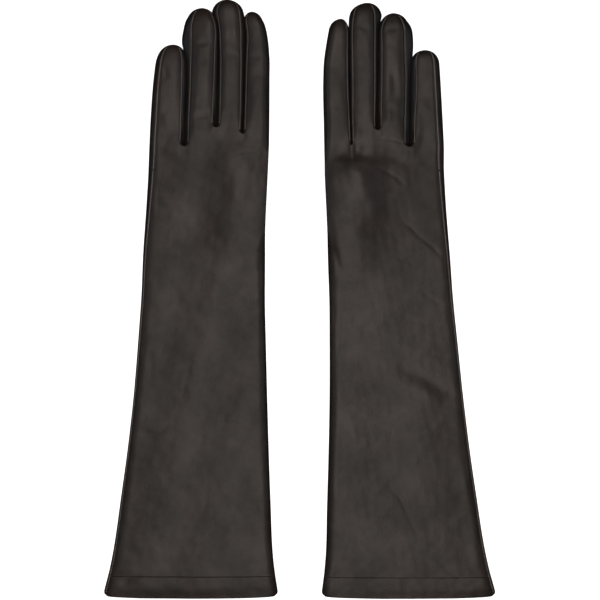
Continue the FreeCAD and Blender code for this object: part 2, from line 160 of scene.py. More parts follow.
def curve_through(points, where):
    """A smooth line through a few (position, value) points."""
    spots = np.array([p[0] for p in points], float)
    values = np.array([p[1] for p in points], float)
    where = np.asarray(where, float)
    slopes = np.gradient(values, spots)
    index = np.clip(np.searchsorted(spots, where) - 1, 0, len(spots) - 2)
    step = spots[index + 1] - spots[index]
    t = np.clip((where - spots[index]) / step, 0, 1)
    a, b = values[index], values[index + 1]
    m, n = slopes[index] * step, slopes[index + 1] * step
    return ((2 * t**3 - 3 * t**2 + 1) * a + (t**3 - 2 * t**2 + t) * m
            + (-2 * t**3 + 3 * t**2) * b + (t**3 - t**2) * n)


def ease(t):
    t = np.clip(t, 0, 1)
    return t * t * (3 - 2 * t)


def mix(a, b, t):
    return a + (b - a) * t


def bell(distance, width):
    return np.exp(-(distance / width) ** 2)


class Lay:
    """Where one glove lies, read from its wrist joint."""

    def __init__(self, side):
        joint = JOINTS[f"{side}_wrist_bend"]
        self.side = side
        self.mirror = -1 if side == "left" else 1
        self.wrist = joint["pos_m"]
        self.across = joint["axis"]

    def world(self, u, y, z):
        right, up = self.across[0], self.across[1]
        x = self.mirror * u
        return np.stack([self.wrist[0] + (x * right - y * up) * MM,
                         self.wrist[1] + (x * up + y * right) * MM,
                         z * MM + 0 * x], axis=-1)

    def square(self):
        """How far a line across the glove has to turn to lie square to the pair."""
        return -self.mirror * self.across[1] / self.across[0]


LAYS = {side: Lay(side) for side in SIDES}


def half_width(y):
    return curve_through(WIDTHS, y)


def border(side, number, y):
    """The line between two fingers' leather, from the cuff to the slit. 0 and 4 are the edges."""
    half, drift = half_width(y), curve_through(DRIFT[side], y)
    if number in (0, 4):
        return drift + (half if number == 4 else -half)
    split = SPLITS[side][number - 1]
    lower = drift + split * half / half_width(HAND_END)
    slit_u, slit_y = SLITS[side][number - 1]
    start = float(curve_through(DRIFT[side], HAND_END)) + split
    upper = mix(start, slit_u, ease((y - HAND_END) / (slit_y - HAND_END)))
    return np.where(y < HAND_END, lower, upper)


def spread(count):
    """Places from 0 to 1, closer together at both ends."""
    t = np.linspace(0, 1, count + 1)
    return 0.3 * t + 0.7 * (1 - np.cos(math.pi * t)) / 2


def edge_roll(distance):
    """Height share of a folded edge: 0 on the fold, 1 once the leather lies flat."""
    return np.sqrt(np.clip(1 - np.clip(1 - distance / 8.5, 0, 1) ** 2.6, 0, 1))


def distance_to_line(u, y, points):
    """Distance to a line through points, and how far along it, from 0 to 1."""
    best, along = np.full(np.shape(u), 1e9), np.zeros(np.shape(u))
    lengths = [math.dist(a, b) for a, b in zip(points, points[1:])]
    done = 0.0
    for (a, b), length in zip(zip(points, points[1:]), lengths):
        du, dy = (b[0] - a[0]) / length, (b[1] - a[1]) / length
        raw = (u - a[0]) * du + (y - a[1]) * dy
        t = np.clip(raw, 0, length)
        near = np.hypot(u - a[0] - t * du, y - a[1] - t * dy)
        closer = near < best
        best = np.where(closer, near, best)
        along = np.where(closer, (done + raw) / sum(lengths), along)
        done += length
    return best, along


# Creases: half width, height (below zero for a valley), and the line they follow in (u, y).
CREASES = {
    "left": [
        (1.3, -0.28, [(47, -127), (36, -128), (27, -126), (21, -121)]),
        (3.0, 0.20, [(45, -122), (34, -123), (25, -119)]),
        (1.2, -0.14, [(17, -132), (4, -128), (-8, -130)]),
        (1.1, -0.12, [(14, -136), (0, -133), (-6, -135)]),
        (1.8, -0.18, [(7, -70), (10, -88), (14, -107)]),
        (3.0, -0.35, [(38, -68), (36, -80), (37, -91)]),
        (1.4, -0.12, [(29, -44), (13, -43)]),
        (1.2, -0.18, [(-20, 80), (-28, 82), (-37, 82)]),
        (1.2, -0.10, [(37, 58), (36, 32)]),
        (2.2, -0.30, [(52, -239), (44, -233), (36, -231)]),
        (9.0, 0.35, [(-8, 76), (-18, 66), (-27, 50)]),
        (3.6, 0.5, [(33, 106), (31, 97)]),
        (2.2, -0.4, [(36, 143), (33, 133)]),
        (2.4, -0.4, [(12, 160), (3, 161)]),
        (2.6, -0.45, [(-7, 154), (-20, 152)]),
        (3.2, 0.4, [(-16, 176), (-17, 164)]),
        (2.6, -0.35, [(-26, 152), (-38, 153)]),
        (2.6, -0.4, [(12, 106), (2, 108)]),
        (6.0, -0.15, [(-12, 62), (-11, 48)]),
    ],
    "right": [
        (1.2, -0.30, [(-7, 91), (6, 90), (20, 85)]),
        (1.4, -0.34, [(-8, 71), (4, 65), (15, 56)]),
        (1.4, -0.32, [(10, 30), (18, 24), (25, 15)]),
        (1.6, -0.36, [(22, 19), (30, 12), (41, 0)]),
        (1.4, -0.24, [(2, 4), (10, 2), (20, -3)]),
        (1.6, -0.32, [(21, -20), (29, -28), (39, -34)]),
        (2.4, -0.5, [(-43, 20), (-39, 6), (-37, -8)]),
        (1.6, -0.20, [(9, -42), (24, -46), (40, -47)]),
        (1.6, -0.20, [(21, -67), (32, -70), (42, -70)]),
        (5.0, -0.95, [(-6, -74), (14, -82), (32, -93), (49, -103)]),
        (5.0, 0.5, [(-2, -85), (14, -93), (32, -104)]),
        (5.0, -0.5, [(-38, -38), (-40, -76)]),
        (5.5, -0.6, [(-40, -115), (-43, -175)]),
        (1.8, -0.36, [(-13, -163), (-2, -172), (3, -182), (7, -193), (11, -203)]),
        (5.5, 0.6, [(44, -138), (50, -180), (56, -228)]),
        (1.8, -0.35, [(-60, -238), (-54, -233), (-47, -227)]),
        (1.4, -0.22, [(24, -222), (33, -228), (43, -236)]),
        (6.5, 0.8, [(-26, 72), (-15, 54), (-5, 34)]),
        (7.0, -0.25, [(3, 72), (1, 56), (-2, 38)]),
        (6.5, -1.3, [(-50, 77), (-30, 80), (-10, 80), (8, 79), (26, 82)]),
        (6.0, 0.7, [(-42, 65), (-26, 67), (-6, 65)]),
        (3.0, 0.55, [(-20, 102), (-19.5, 91)]),
        (2.6, 0.45, [(4.3, 111), (4.3, 102)]),
        (3.4, -0.6, [(29, 111), (30, 99), (29, 86)]),
        (3.2, -0.5, [(9, 141), (10, 129), (9, 118)]),
        (3.0, -0.5, [(-15, 176), (-6, 171)]),
        (2.6, -0.4, [(5, 171), (16, 172)]),
    ],
}


def waves(side, u, y):
    """The soft unevenness of leather that has been worn: seeded waves, long and short."""
    dice = random.Random(7 if side == "left" else 23)
    height = 0 * u
    for count, length, rise in WAVES:
        for _ in range(count):
            angle, phase = dice.uniform(0, math.pi), dice.uniform(0, 2 * math.pi)
            size = length * dice.uniform(0.7, 1.4)
            turn = 2 * math.pi / size
            height = height + rise * np.sin(turn * (u * math.cos(angle) + y * math.sin(angle))
                                            + phase)
    return height


def creases(side, u, y):
    height = 0 * u
    for width, rise, points in CREASES[side]:
        steps = np.linspace(0, len(points) - 1, 3 * len(points) - 2)
        line = list(zip(*[curve_through([(place, point[axis]) for place, point in
                                         enumerate(points)], steps) for axis in (0, 1)]))
        distance, along = distance_to_line(u, y, line)
        spare = width / math.dist(points[0], points[-1])
        fade = ease((along + spare) / (0.3 + spare)) * ease((1 - along + spare) / (0.3 + spare))
        height = height + rise * bell(distance, width) * fade
    return height


def thumb_distance(u, y):
    return distance_to_line(u, y, [THUMB["root"], THUMB["tip"]])[0]


def under(u, y):
    """Height of the glove's lower leather: flat, but lifted wherever the thumb may swing."""
    root, tip = np.array(THUMB["root"]), np.array(THUMB["tip"])
    nearest = thumb_distance(u, y)
    for angle in THUMB["swing"]:
        turn = np.array(Matrix.Rotation(math.radians(angle), 2))
        turned = distance_to_line(u, y, [root, root + turn @ (tip - root)])[0]
        nearest = np.minimum(nearest, turned)
    return PALM_LEVEL * ease(1 - (nearest - PALM_REACH) / PALM_SLOPE)


def over(side, u, y):
    """Height of the glove's upper leather away from its edges."""
    body = curve_through(BODY, y)
    lift = THUMB["bulge"][side] * bell(thumb_distance(u, y), THUMB["spread"])
    hem = 0.7 * ease(HEM_TOP - y) * ease((y + 250) / 10)
    valleys = 0 * u
    for slit_u, slit_y in SLITS[side]:
        valleys = valleys - 0.7 * bell(u - slit_u, 2.6) * ease((y - slit_y + 9) / 9)
    return body + lift + hem + valleys + creases(side, u, y) + waves(side, u, y)


def seam_ridge(u, y, edge):
    """The side seam: a raised cord with a groove on its inner side."""
    off = edge - curve_through(SIDE_SEAM, y)
    return 0.40 * bell(u - off - 0.5, 0.55) - 0.60 * bell(u - off + 0.5, 0.5)


def hand_height(side, u, y, low, high, inset=0.0):
    """Heights of the upper and lower leather of hand and sleeve between their two edges."""
    roll = edge_roll(np.minimum(u - low, high - u))
    bottom, top = under(u, y), over(side, u, y)
    middle = bottom + 0.42 * (top - bottom)
    ridge = seam_ridge(u, y, high) * ease(roll * 1.4) * (np.asarray(inset) == 0)
    inset = np.minimum(inset, 0.2 * (top - bottom))
    return (middle + (top - inset - middle) * roll + ridge,
            middle - (middle - bottom - inset) * np.sqrt(roll))


def finger_edges(side, finger, y):
    """A finger's four edges: low foot, low seam, high seam, high foot."""
    rows = EDGES[side][finger]
    return [curve_through([(row[0], row[place]) for row in rows], y) for place in (1, 2, 3, 4)]


def slit_opening(side, number, y):
    """How far the slit at a border has opened: 0 at its bottom, 1 once fully open."""
    t = np.clip((y - SLITS[side][number - 1][1]) / SLIT_ROUND, 0, 1)
    return np.sqrt(1 - (1 - t) ** 2)


def finger_lines(side, finger, y):
    """Where a finger's edges run from the hand on: low foot, low seam, high seam, high foot."""
    number = FINGERS.index(finger)
    low_foot, low, high, high_foot = finger_edges(side, finger, y)
    leave = ease((y - HAND_END) / 22)
    if number == 0:
        low = low_foot = mix(border(side, 0, y), low, leave)
    else:
        slit_u, slit_y = SLITS[side][number - 1]
        opened = slit_opening(side, number, y)
        low, low_foot = [np.where(y <= slit_y, border(side, number, y), mix(slit_u, edge, opened))
                         for edge in (low, low_foot)]
    if number == 3:
        high = high_foot = mix(border(side, 4, y), high, leave)
    else:
        slit_u, slit_y = SLITS[side][number]
        opened = slit_opening(side, number + 1, y)
        high, high_foot = [np.where(y <= slit_y, border(side, number + 1, y),
                                    mix(slit_u, edge, opened)) for edge in (high, high_foot)]
    return low_foot, low, high, high_foot


def finger_height(side, finger, u, y, xi, low, high):
    """Heights of a finger's upper and lower leather. Xi runs from -1 to 1 across the finger."""
    number = FINGERS.index(finger)
    shape = bpy.context.scene.glove_shape
    crown = shape.crown / MM * (1 - np.abs(xi) ** 3.4)
    dent = 0 * u
    if number > 0:
        dent = dent + bell(u - low, 0.7) * slit_opening(side, number, y)
    if number < 3:
        dent = dent + bell(high - u, 0.7) * slit_opening(side, number + 1, y)
    wave = 1.2 * waves(side, u, y) + creases(side, u, y) + finger_folds(side, number, y, xi)
    marks = slit_marks(side, number)
    rise = 1.9 * (1 - ease((y - mix(marks[0], marks[-1], ease((xi + 1) / 2))) / 18))
    top = (SEAM_TOP + crown - shape.groove / MM * dent + wave * (1 - xi**4)
           + rise * np.abs(xi) ** 3.4)
    bottom = 2.2 * np.abs(xi) ** 5
    if number == 0:
        roll = edge_roll((u - low) * 1.3)
        bottom = np.where(xi < 0, 0, bottom)
    elif number == 3:
        roll = edge_roll((high - u) * 1.3)
        bottom = np.where(xi > 0, 0, bottom)
    else:
        roll = np.ones(np.shape(u))
    ridge = seam_ridge(u, y, high) * ease(roll * 1.4) if number == 3 else 0
    return (MID_HEIGHT + (top - MID_HEIGHT) * roll + ridge,
            MID_HEIGHT - (MID_HEIGHT - bottom) * np.sqrt(roll))


def finger_folds(side, number, y, xi):
    """Soft folds across a finger, where its joints have bent it."""
    dice = random.Random(31 * number + (5 if side == "left" else 60))
    height = 0 * y
    for step in range(6):
        at = 104 + 15 * step + dice.uniform(-4, 4)
        width, depth = dice.uniform(3.0, 6.0), dice.uniform(0.08, 0.26)
        height = height - depth * bell(y - at - dice.uniform(-3, 3) * xi, width)
    return height


def slit_marks(side, number):
    """Where the slits beside a finger start."""
    return [SLITS[side][place][1] for place in (number - 1, number) if 0 <= place <= 2]


def parting(side, finger, y, xi):
    """How far the leather has turned from hand to finger, from 0 to 1."""
    marks = slit_marks(side, FINGERS.index(finger))
    before, after = [ease((y - mark + PARTING) / PARTING) for mark in (marks[0], marks[-1])]
    return mix(before, after, ease((xi + 1) / 2))


def to_tip(side, finger, u, y, z):
    """Draws a finger's leather together into its rounded tip."""
    end, radius, lean = TIPS[side][finger]
    share = np.sqrt(np.clip(1 - np.clip((y - end + radius) / radius, 0, 1) ** 2.2, 0, 1))
    low_foot, _, _, high_foot = finger_lines(side, finger, np.array([end - radius * 0.6]))
    centre = float(low_foot[0] + high_foot[0]) / 2 + lean
    return centre + (u - centre) * share ** 0.95, MID_HEIGHT + (z - MID_HEIGHT) * share ** 0.8


def finger_rows(side, finger):
    """The rows of a finger from the hand to its tip, closer together where it curves."""
    marks = [HAND_END] + sorted(slit[1] for slit in SLITS[side])
    start = [0, 0.1, 0.3, 0.6, 1.1, 1.7, 2.4, 3.2, 4.0, 4.8]
    rows = []
    for first, last in zip(marks, marks[1:]):
        rows += [first + step for step in start if step < last - first - 0.3]
        rows += list(np.linspace(rows[-1], last, max(2, round((last - rows[-1]) / 0.9)) + 1))[1:-1]
    rows += [marks[-1] + step for step in start]
    end, radius, _ = TIPS[side][finger]
    rows += list(np.linspace(rows[-1], end - radius, round((end - radius - rows[-1]) / 1.1)))[1:]
    rows += list(end - radius + radius * np.sin(np.linspace(0, math.pi / 2, 17)[1:]))
    return np.array(rows)


def finger_sheet(side, finger, y, share, upper):
    """(u, z) over a finger's upper or lower leather, for rows of y and columns of share."""
    low_foot, low, high, high_foot = [line[:, None] for line in finger_lines(side, finger, y)]
    if not upper:
        low, high = mix(low_foot, low, 0.15), mix(high_foot, high, 0.15)
    share = share[None, :] + 0 * y[:, None]
    u = low + (high - low) * share
    where = y[:, None] + 0 * u
    place = 0 if upper else 1
    hand = hand_height(side, u, where, border(side, 0, where), border(side, 4, where))[place]
    _, start, stop, _ = [line[:, None] for line in finger_edges(side, finger, y)]
    xi = np.clip((2 * u - start - stop) / (stop - start), -1, 1)
    own = finger_height(side, finger, u, where, xi, low, high)[place]
    z = mix(hand, own, parting(side, finger, where, xi))
    return to_tip(side, finger, u, where, z)


def finger_points(side, finger, y, count, upper, lining=False):
    """Points of a finger's upper or lower leather, or of its smaller lining, rows by columns."""
    u, z = finger_sheet(side, finger, y, spread(count), upper)
    if lining:
        middle = (u[:, :1] + u[:, -1:]) / 2
        u = middle + (u - middle) * LINING_WIDTH
        z = MID_HEIGHT + (z - MID_HEIGHT) * LINING_HEIGHT
    if not upper:
        u, z = u[:, ::-1], z[:, ::-1]
    return LAYS[side].world(u, y[:, None] + 0 * u, z)


def grid_sheet(mesh, points, flip):
    """Adds a grid and moves its vertices to an array of points, rows by columns."""
    rows, columns = points.shape[0] - 1, points.shape[1] - 1
    made = bmesh.ops.create_grid(mesh, x_segments=columns, y_segments=rows, size=0.5)["verts"]
    for vert in made:
        vert.co = points[round((vert.co.y + 0.5) * rows), round((vert.co.x + 0.5) * columns)]
    if flip:
        bmesh.ops.reverse_faces(mesh, faces=list({face for vert in made
                                                  for face in vert.link_faces}))


def finish_mesh(name, mesh, material, merge=4e-6):
    bmesh.ops.remove_doubles(mesh, verts=mesh.verts, dist=merge)
    bmesh.ops.dissolve_degenerate(mesh, edges=mesh.edges, dist=1e-7)
    data = bpy.data.meshes.new(name)
    mesh.to_mesh(data)
    mesh.free()
    data.shade_smooth()
    data.materials.append(bpy.data.materials[material])
    piece = bpy.data.objects.new(name, data)
    bpy.context.scene.collection.objects.link(piece)
    return piece


def hand_columns(side, y, count):
    """Places across hand and sleeve, in step with the fingers' own columns."""
    share = spread(count)
    columns = []
    for number in range(4):
        low, high = border(side, number, y), border(side, number + 1, y)
        part = low[:, None] + (high - low)[:, None] * share[None, :]
        columns.append(part if number == 3 else part[:, :-1])
    return np.concatenate(columns, axis=1)


def cuff_shape(side, u, y):
    """Turns the rows square to the pair towards the cuff, and bows its end a little."""
    near, end = ease((-150 - y) / 90), ease((-225 - y) / 22)
    return (y + u * LAYS[side].square() * near
            + 1.8 * (np.abs(u) / half_width(y)) ** 3 * end)


def sleeve_points(side, y, count, upper, inset=0.0):
    """Points of the upper or lower leather of hand and sleeve, rows by columns."""
    inset = np.broadcast_to(inset, y.shape)[:, None]
    corner = np.clip((CUFF_END[side] + 4.2 - y) / 4.2, 0, 1)
    u = hand_columns(side, y, count) * (1 - (1 - np.sqrt(1 - corner**2)) * 0.04)[:, None]
    where = y[:, None] + 0 * u
    top, bottom = hand_height(side, u, where, u[:, :1], u[:, -1:], inset)
    u = u * (1 - inset / half_width(where))
    if not upper:
        u, where, top = u[:, ::-1], where, bottom[:, ::-1]
    return LAYS[side].world(u, cuff_shape(side, u, where), top)


def tube_of(name, side, material, sheets, inward=False):
    """A piece made of an upper and a lower sheet of points, joined along their edges."""
    mesh = bmesh.new()
    for points in sheets:
        grid_sheet(mesh, points, (LAYS[side].mirror < 0) != inward)
    return finish_mesh(f"{side}_{name}", mesh, material)


def hang(piece, side, part, slot, *nodes):
    """Attaches a piece to the body that moves it, but only bakes the place of hand, sleeve and
    finger pieces, and hides the nodes it stands in for. The slot, naming its material, is not used.
    """
    if part == "wrist":
        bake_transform(piece)
    elif part in FINGERS:
        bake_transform(piece)
    else:
        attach(piece, f"{side}_{part}")
    if nodes:
        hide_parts(*[f"{side}_{node}" for node in nodes])


def make_fourchette(side, finger, turn, name):
    """The strip between two fingers, from the bottom of the slit to the fingertip."""
    number = FINGERS.index(finger)
    slit_y = SLITS[side][number if turn > 0 else number - 1][1]
    y = finger_rows(side, finger)
    y = y[y >= slit_y - 1e-9]
    end = np.array([1.0 if turn > 0 else 0.0])
    top_u, top_z = finger_sheet(side, finger, y, end, True)
    foot_u, foot_z = finger_sheet(side, finger, y, end, False)
    low_foot, low, high, high_foot = finger_lines(side, finger, y)
    seam, foot = (high, high_foot) if turn > 0 else (low, low_foot)
    opened = slit_opening(side, number + (turn > 0), y)
    lines = [(top_u[:, 0], top_z[:, 0])]
    for out, height in STRIP_PROFILE:
        lines.append(to_tip(side, finger, mix(seam, foot + STRIP_LAP * turn * opened, out), y,
                            height + 0 * y))
    lines.append((foot_u[:, 0], foot_z[:, 0]))
    points = np.stack([LAYS[side].world(u, y, z) for u, z in lines], axis=1)
    spots = np.linspace(0, 1, len(lines))
    fine = np.linspace(0, 1, STRIP_COLUMNS + 1)
    smooth = np.array([[curve_through(list(zip(spots, row[:, axis])), fine) for axis in range(3)]
                       for row in points]).transpose(0, 2, 1)
    # The strip takes the darker strip material: painted shade for the gap beside the finger.
    return tube_of(f"{name}_strip", side, "glove_strip_painted_shade", [smooth[:, ::turn]])


def share_normals(pieces):
    """Gives points that pieces share along a seamless edge one common normal."""
    table = {}
    for piece in pieces:
        for vert in piece.data.vertices:
            key = tuple(round(value * 2e5) for value in vert.co)
            table.setdefault(key, []).append((piece.name, vert.index, vert.normal.copy()))
    normals = {piece.name: [vert.normal.copy() for vert in piece.data.vertices]
               for piece in pieces}
    for entries in table.values():
        total = sum((entry[2] for entry in entries), Vector()).normalized()
        for name, index, _ in entries:
            normals[name][index] = total
    for piece in pieces:
        piece.data.normals_split_custom_set_from_vertices(normals[piece.name])


def add_stitches(mesh, line):
    """Beads of thread along a line of points, each one slanted like a turn of a rope."""
    shape = bpy.context.scene.glove_shape
    for before, here, after in zip(line, line[1:], line[2:]):
        along = (Vector(after) - Vector(before)).normalized()
        across = along.cross(Vector((0, 0, 1))).normalized()
        slant = (along + across * 0.35).normalized()
        turn = Matrix((slant, slant.cross(Vector((0, 0, 1))), (0, 0, 1))).transposed().to_4x4()
        size = Matrix.Diagonal((shape.stitch_pitch * 0.28, shape.stitch_width / 2,
                                shape.stitch_width * 0.5, 1))
        bmesh.ops.create_icosphere(mesh, subdivisions=1, radius=1,
                                   matrix=Matrix.Translation(here) @ turn @ size)


def stitch_rows(start, stop):
    pitch = bpy.context.scene.glove_shape.stitch_pitch / MM
    return np.linspace(start, stop, round((stop - start) / pitch) + 1)


def make_finger_stitches(side, finger):
    """The stitches along a finger's own seams, from the slits to its tip."""
    number = FINGERS.index(finger)
    end = TIPS[side][finger][0]
    mesh = bmesh.new()
    for turn in (-1, 1):
        if number == 0 and turn < 0:
            continue
        at, lift = STITCH_PLACE[turn]
        if number == 3 and turn > 0:
            y = stitch_rows(HAND_END, end - 1.5)
            _, low, high, _ = finger_lines(side, finger, y)
            share = 1 - curve_through(SIDE_SEAM, y) / (high - low)
            sheets = [finger_sheet(side, finger, y[row:row + 1], share[row:row + 1], True)
                      for row in range(len(y))]
            u, z = [np.array([float(sheet[axis][0, 0]) for sheet in sheets]) for axis in (0, 1)]
        else:
            slit_y = SLITS[side][number if turn > 0 else number - 1][1]
            y = stitch_rows(slit_y + 2.0, end - 1.5)
            u, z = [value[:, 0] for value in finger_sheet(side, finger, y, np.array([at]), True)]
        add_stitches(mesh, LAYS[side].world(u, y, z + lift))
    # The stitch beads take the light thread colour, painted highlight of the seam's puckers.
    return finish_mesh(f"{side}_{finger}_stitches", mesh, "glove_stitch_painted_highlight", 0)


def make_side_stitches(side):
    """The stitches of the side seam, from the cuff along sleeve and hand."""
    y = stitch_rows(CUFF_END[side] + 2, HAND_END)
    high = border(side, 4, y)
    u = high - curve_through(SIDE_SEAM, y)
    z = hand_height(side, u, y, border(side, 0, y), high)[0]
    mesh = bmesh.new()
    add_stitches(mesh, LAYS[side].world(u, cuff_shape(side, u, y), z + 0.2))
    # The stitch beads take the light thread colour, painted highlight of the seam's puckers.
    return finish_mesh(f"{side}_side_stitches", mesh, "glove_stitch_painted_highlight", 0)


def make_thumb(side):
    """The thumb's leather, folded flat under the hand."""
    root, tip = np.array(THUMB["root"]), np.array(THUMB["tip"])
    length = math.dist(root, tip)
    along = (tip - root) / length
    across = np.array((along[1], -along[0]))
    turns = np.linspace(-math.pi / 2, math.pi / 2, 61)
    middle, reach = (length - 8) / 2, (length + 12) / 2 + 3
    t = middle - 2 + reach * np.sin(turns)
    width = THUMB["half"] * np.abs(np.cos(turns)) ** 0.42 * (1 - 0.1 * ease(t / length))
    columns = np.linspace(-1, 1, 33)
    sheets = []
    for turn in (1, -1):
        w = width[:, None] * columns[None, :] * turn
        share = (np.abs(np.cos(turns)) ** 0.5)[:, None] * (1 - np.abs(columns) ** 3)[None, :] ** 0.6
        z = THUMB["height"] / 2 * (1 + turn * share)
        u = root[0] + along[0] * t[:, None] + across[0] * w
        y = root[1] + along[1] * t[:, None] + across[1] * w
        sheets.append(LAYS[side].world(u, y, z))
    return tube_of("thumb_panel", side, "glove_leather", sheets)


def make_linings(side):
    """The turned-in hem and the silk lining of sleeve, hand and fingers."""
    end = CUFF_END[side]
    steps, depths = zip(*CUFF_FOLD)
    y = np.concatenate([end + np.array(steps), np.linspace(end + 2, HEM_TOP + 0.3, 9)])
    inset = np.concatenate([depths, np.full(9, depths[-1])])
    hem = tube_of("hem_turn_in", side, "glove_leather", [
        sleeve_points(side, y, count, upper, inset)
        for count, upper in ((TOP_COLUMNS, True), (BOTTOM_COLUMNS, False))], inward=True)
    hang(hem, side, "forearm", "leather", "cuff_hem")
    y = np.linspace(LINING_START, LINING_END, 112)
    lining = tube_of("sleeve_lining_silk", side, "glove_silk", [
        sleeve_points(side, y, 6, upper, LINING_GAP) for upper in (True, False)], inward=True)
    hang(lining, side, "wrist", "silk", "sleeve_lining", "hand_lining")
    for finger in FINGERS:
        y = finger_rows(side, finger)
        y = y[(y > 86) & (y < TIPS[side][finger][0] - 2)][::2]
        cloth = tube_of(f"{finger}_lining_silk", side, "glove_silk", [
            finger_points(side, finger, y, 8, upper, lining=True) for upper in (True, False)])
        hang(cloth, side, finger, "silk", f"{finger}_lining")


class Socket:
    """A shader socket that takes part in arithmetic by adding Math nodes."""

    def __init__(self, tree, link):
        self.tree, self.link = tree, link

    def math(self, operation, other, flipped=False):
        node = self.tree.nodes.new("ShaderNodeMath")
        node.operation = operation
        for place, value in enumerate((other, self) if flipped else (self, other)):
            if isinstance(value, Socket):
                self.tree.links.new(value.link, node.inputs[place])
            else:
                node.inputs[place].default_value = value
        return Socket(self.tree, node.outputs[0])

    def __add__(self, other):
        return self.math("ADD", other)

    def __radd__(self, other):
        return self.math("ADD", other, True)

    def __sub__(self, other):
        return self.math("SUBTRACT", other)

    def __rsub__(self, other):
        return self.math("SUBTRACT", other, True)

    def __mul__(self, other):
        return self.math("MULTIPLY", other)

    def __rmul__(self, other):
        return self.math("MULTIPLY", other, True)

    def clamp(self):
        return self.math("MAXIMUM", 0.0).math("MINIMUM", 1.0)


class Shader:
    """A material's node tree, with one method that adds any node."""

    def __init__(self, name):
        self.material = bpy.data.materials.new(name)
        self.material.use_nodes = True
        self.tree = self.material.node_tree
        self.surface = self.tree.nodes["Principled BSDF"]

    def node(self, kind, settings=None, inputs=None, output=0):
        node = self.tree.nodes.new(kind)
        for name, value in (settings or {}).items():
            setattr(node, name, value)
        for name, value in (inputs or {}).items():
            self.feed(node.inputs[name], value)
        return Socket(self.tree, node.outputs[output])

    def feed(self, socket, value):
        if isinstance(value, Socket):
            self.tree.links.new(value.link, socket)
        else:
            socket.default_value = value

    def set(self, **values):
        for name, value in values.items():
            self.feed(self.surface.inputs[name.replace("_", " ")], value)

    def place(self, stretch=(1, 1, 1)):
        where = self.node("ShaderNodeTexCoord", output="Object")
        return self.node("ShaderNodeMapping", inputs={"Vector": where, "Scale": stretch})

    def noise(self, where, size_mm, detail=2.0, roughness=0.5):
        return self.node("ShaderNodeTexNoise", inputs={
            "Vector": where, "Scale": 1000 / size_mm, "Detail": detail, "Roughness": roughness})

    def blend(self, share, first, second):
        return self.node("ShaderNodeMix", {"data_type": "RGBA"},
                         {"Factor": share, 6: first, 7: second}, output=2)

    def bump(self, height, distance_mm, strength, normal=None):
        inputs = {"Height": height, "Distance": distance_mm * MM, "Strength": strength}
        if normal:
            inputs["Normal"] = normal
        return self.node("ShaderNodeBump", inputs=inputs)


def tinted(colour, red, green, blue):
    return (colour[0] * red, colour[1] * green, colour[2] * blue, 1)


def leather(name, colour, gloss):
    """Smooth glove leather: mottled colour, fine pores, faint creping and a soft low shine."""
    shade = Shader(name)
    where = shade.place()
    patch = shade.noise(where, 34, 3.0, 0.6)
    tint = shade.noise(where, 9, 3.0, 0.6)
    streak = shade.noise(shade.place((1, 0.35, 1)), 6, 2.0, 0.5)
    grain = shade.noise(where, 0.6, 2.0, 0.6)
    crepe = shade.noise(where, 2.8, 3.0, 0.55)
    dark, light = tinted(colour, 0.66, 0.63, 0.65), tinted(colour, 1.30, 1.23, 1.17)
    base = shade.blend(((tint * 0.45 + patch * 0.4 + streak * 0.15 - 0.39) * 4.6).clamp(),
                       dark, light)
    base = shade.blend(((patch - 0.5) * 6.0).clamp() * 0.6, base, tinted(colour, 1.25, 0.96, 0.95))
    base = shade.blend(((0.48 - tint) * 6.0).clamp() * 0.4, base, tinted(colour, 0.84, 0.98, 0.90))
    base = shade.blend(((grain - 0.5) * 3.0).clamp() * 0.25, base, tinted(colour, 1.7, 1.7, 1.7))
    fine = shade.bump(grain, 0.03, 0.5)
    shade.set(Base_Color=base, Roughness=gloss + 0.12 * crepe - 0.30 * (patch - 0.35),
              Normal=shade.bump(crepe, 0.16, 0.6, fine))
    shade.surface.inputs["Specular IOR Level"].default_value = 0.34


def cloth(name, colour, size_mm, roughness):
    """Thread and silk: a plain colour, broken up a little. The thread's light colour is painted
    highlight on the seams.
    """
    shade = Shader(name)
    weave = shade.noise(shade.place(), size_mm, 2.0)
    shade.set(Base_Color=shade.blend(weave, tinted(colour, 0.6, 0.6, 0.6),
                                     tinted(colour, 1.4, 1.4, 1.4)))
    shade.surface.inputs["Roughness"].default_value = roughness


def length(name, description, default):
    return bpy.props.FloatProperty(name=name, description=description, default=default,
                                   min=0, unit="LENGTH", precision=5)


def colour(name, description, default):
    return bpy.props.FloatVectorProperty(name=name, description=description, default=default,
                                         size=4, min=0, max=1, subtype="COLOR")


class GloveShape(bpy.types.PropertyGroup):
    crown: length("Finger crown", "Rise of a finger between its two seams", 0.0018)
    groove: length("Seam groove", "Depth of the leather beside a finger seam", 0.0011)
    stitch_pitch: length("Stitch pitch", "Distance between two stitches", 0.0016)
    stitch_width: length("Stitch width", "Width of the thread", 0.0009)


class GloveColours(bpy.types.PropertyGroup):
    leather: colour("Leather", "Dark brown-black glove leather", (0.0238, 0.0186, 0.0161, 1))
    # The strips' colour is about half the leather's and a little bluer: painted shade for the gaps
    # between the fingers, where the strips lie in shadow.
    strip: colour("Strips", "Leather of the strips between the fingers",
                  (0.012, 0.0105, 0.011, 1))
    # The thread's light colour is painted highlight: it stands for the lit puckers of the leather
    # along the seams.
    thread: colour("Thread", "Sewing thread", (0.44, 0.37, 0.32, 1))
    silk: colour("Silk", "Lining", (0.030, 0.027, 0.026, 1))


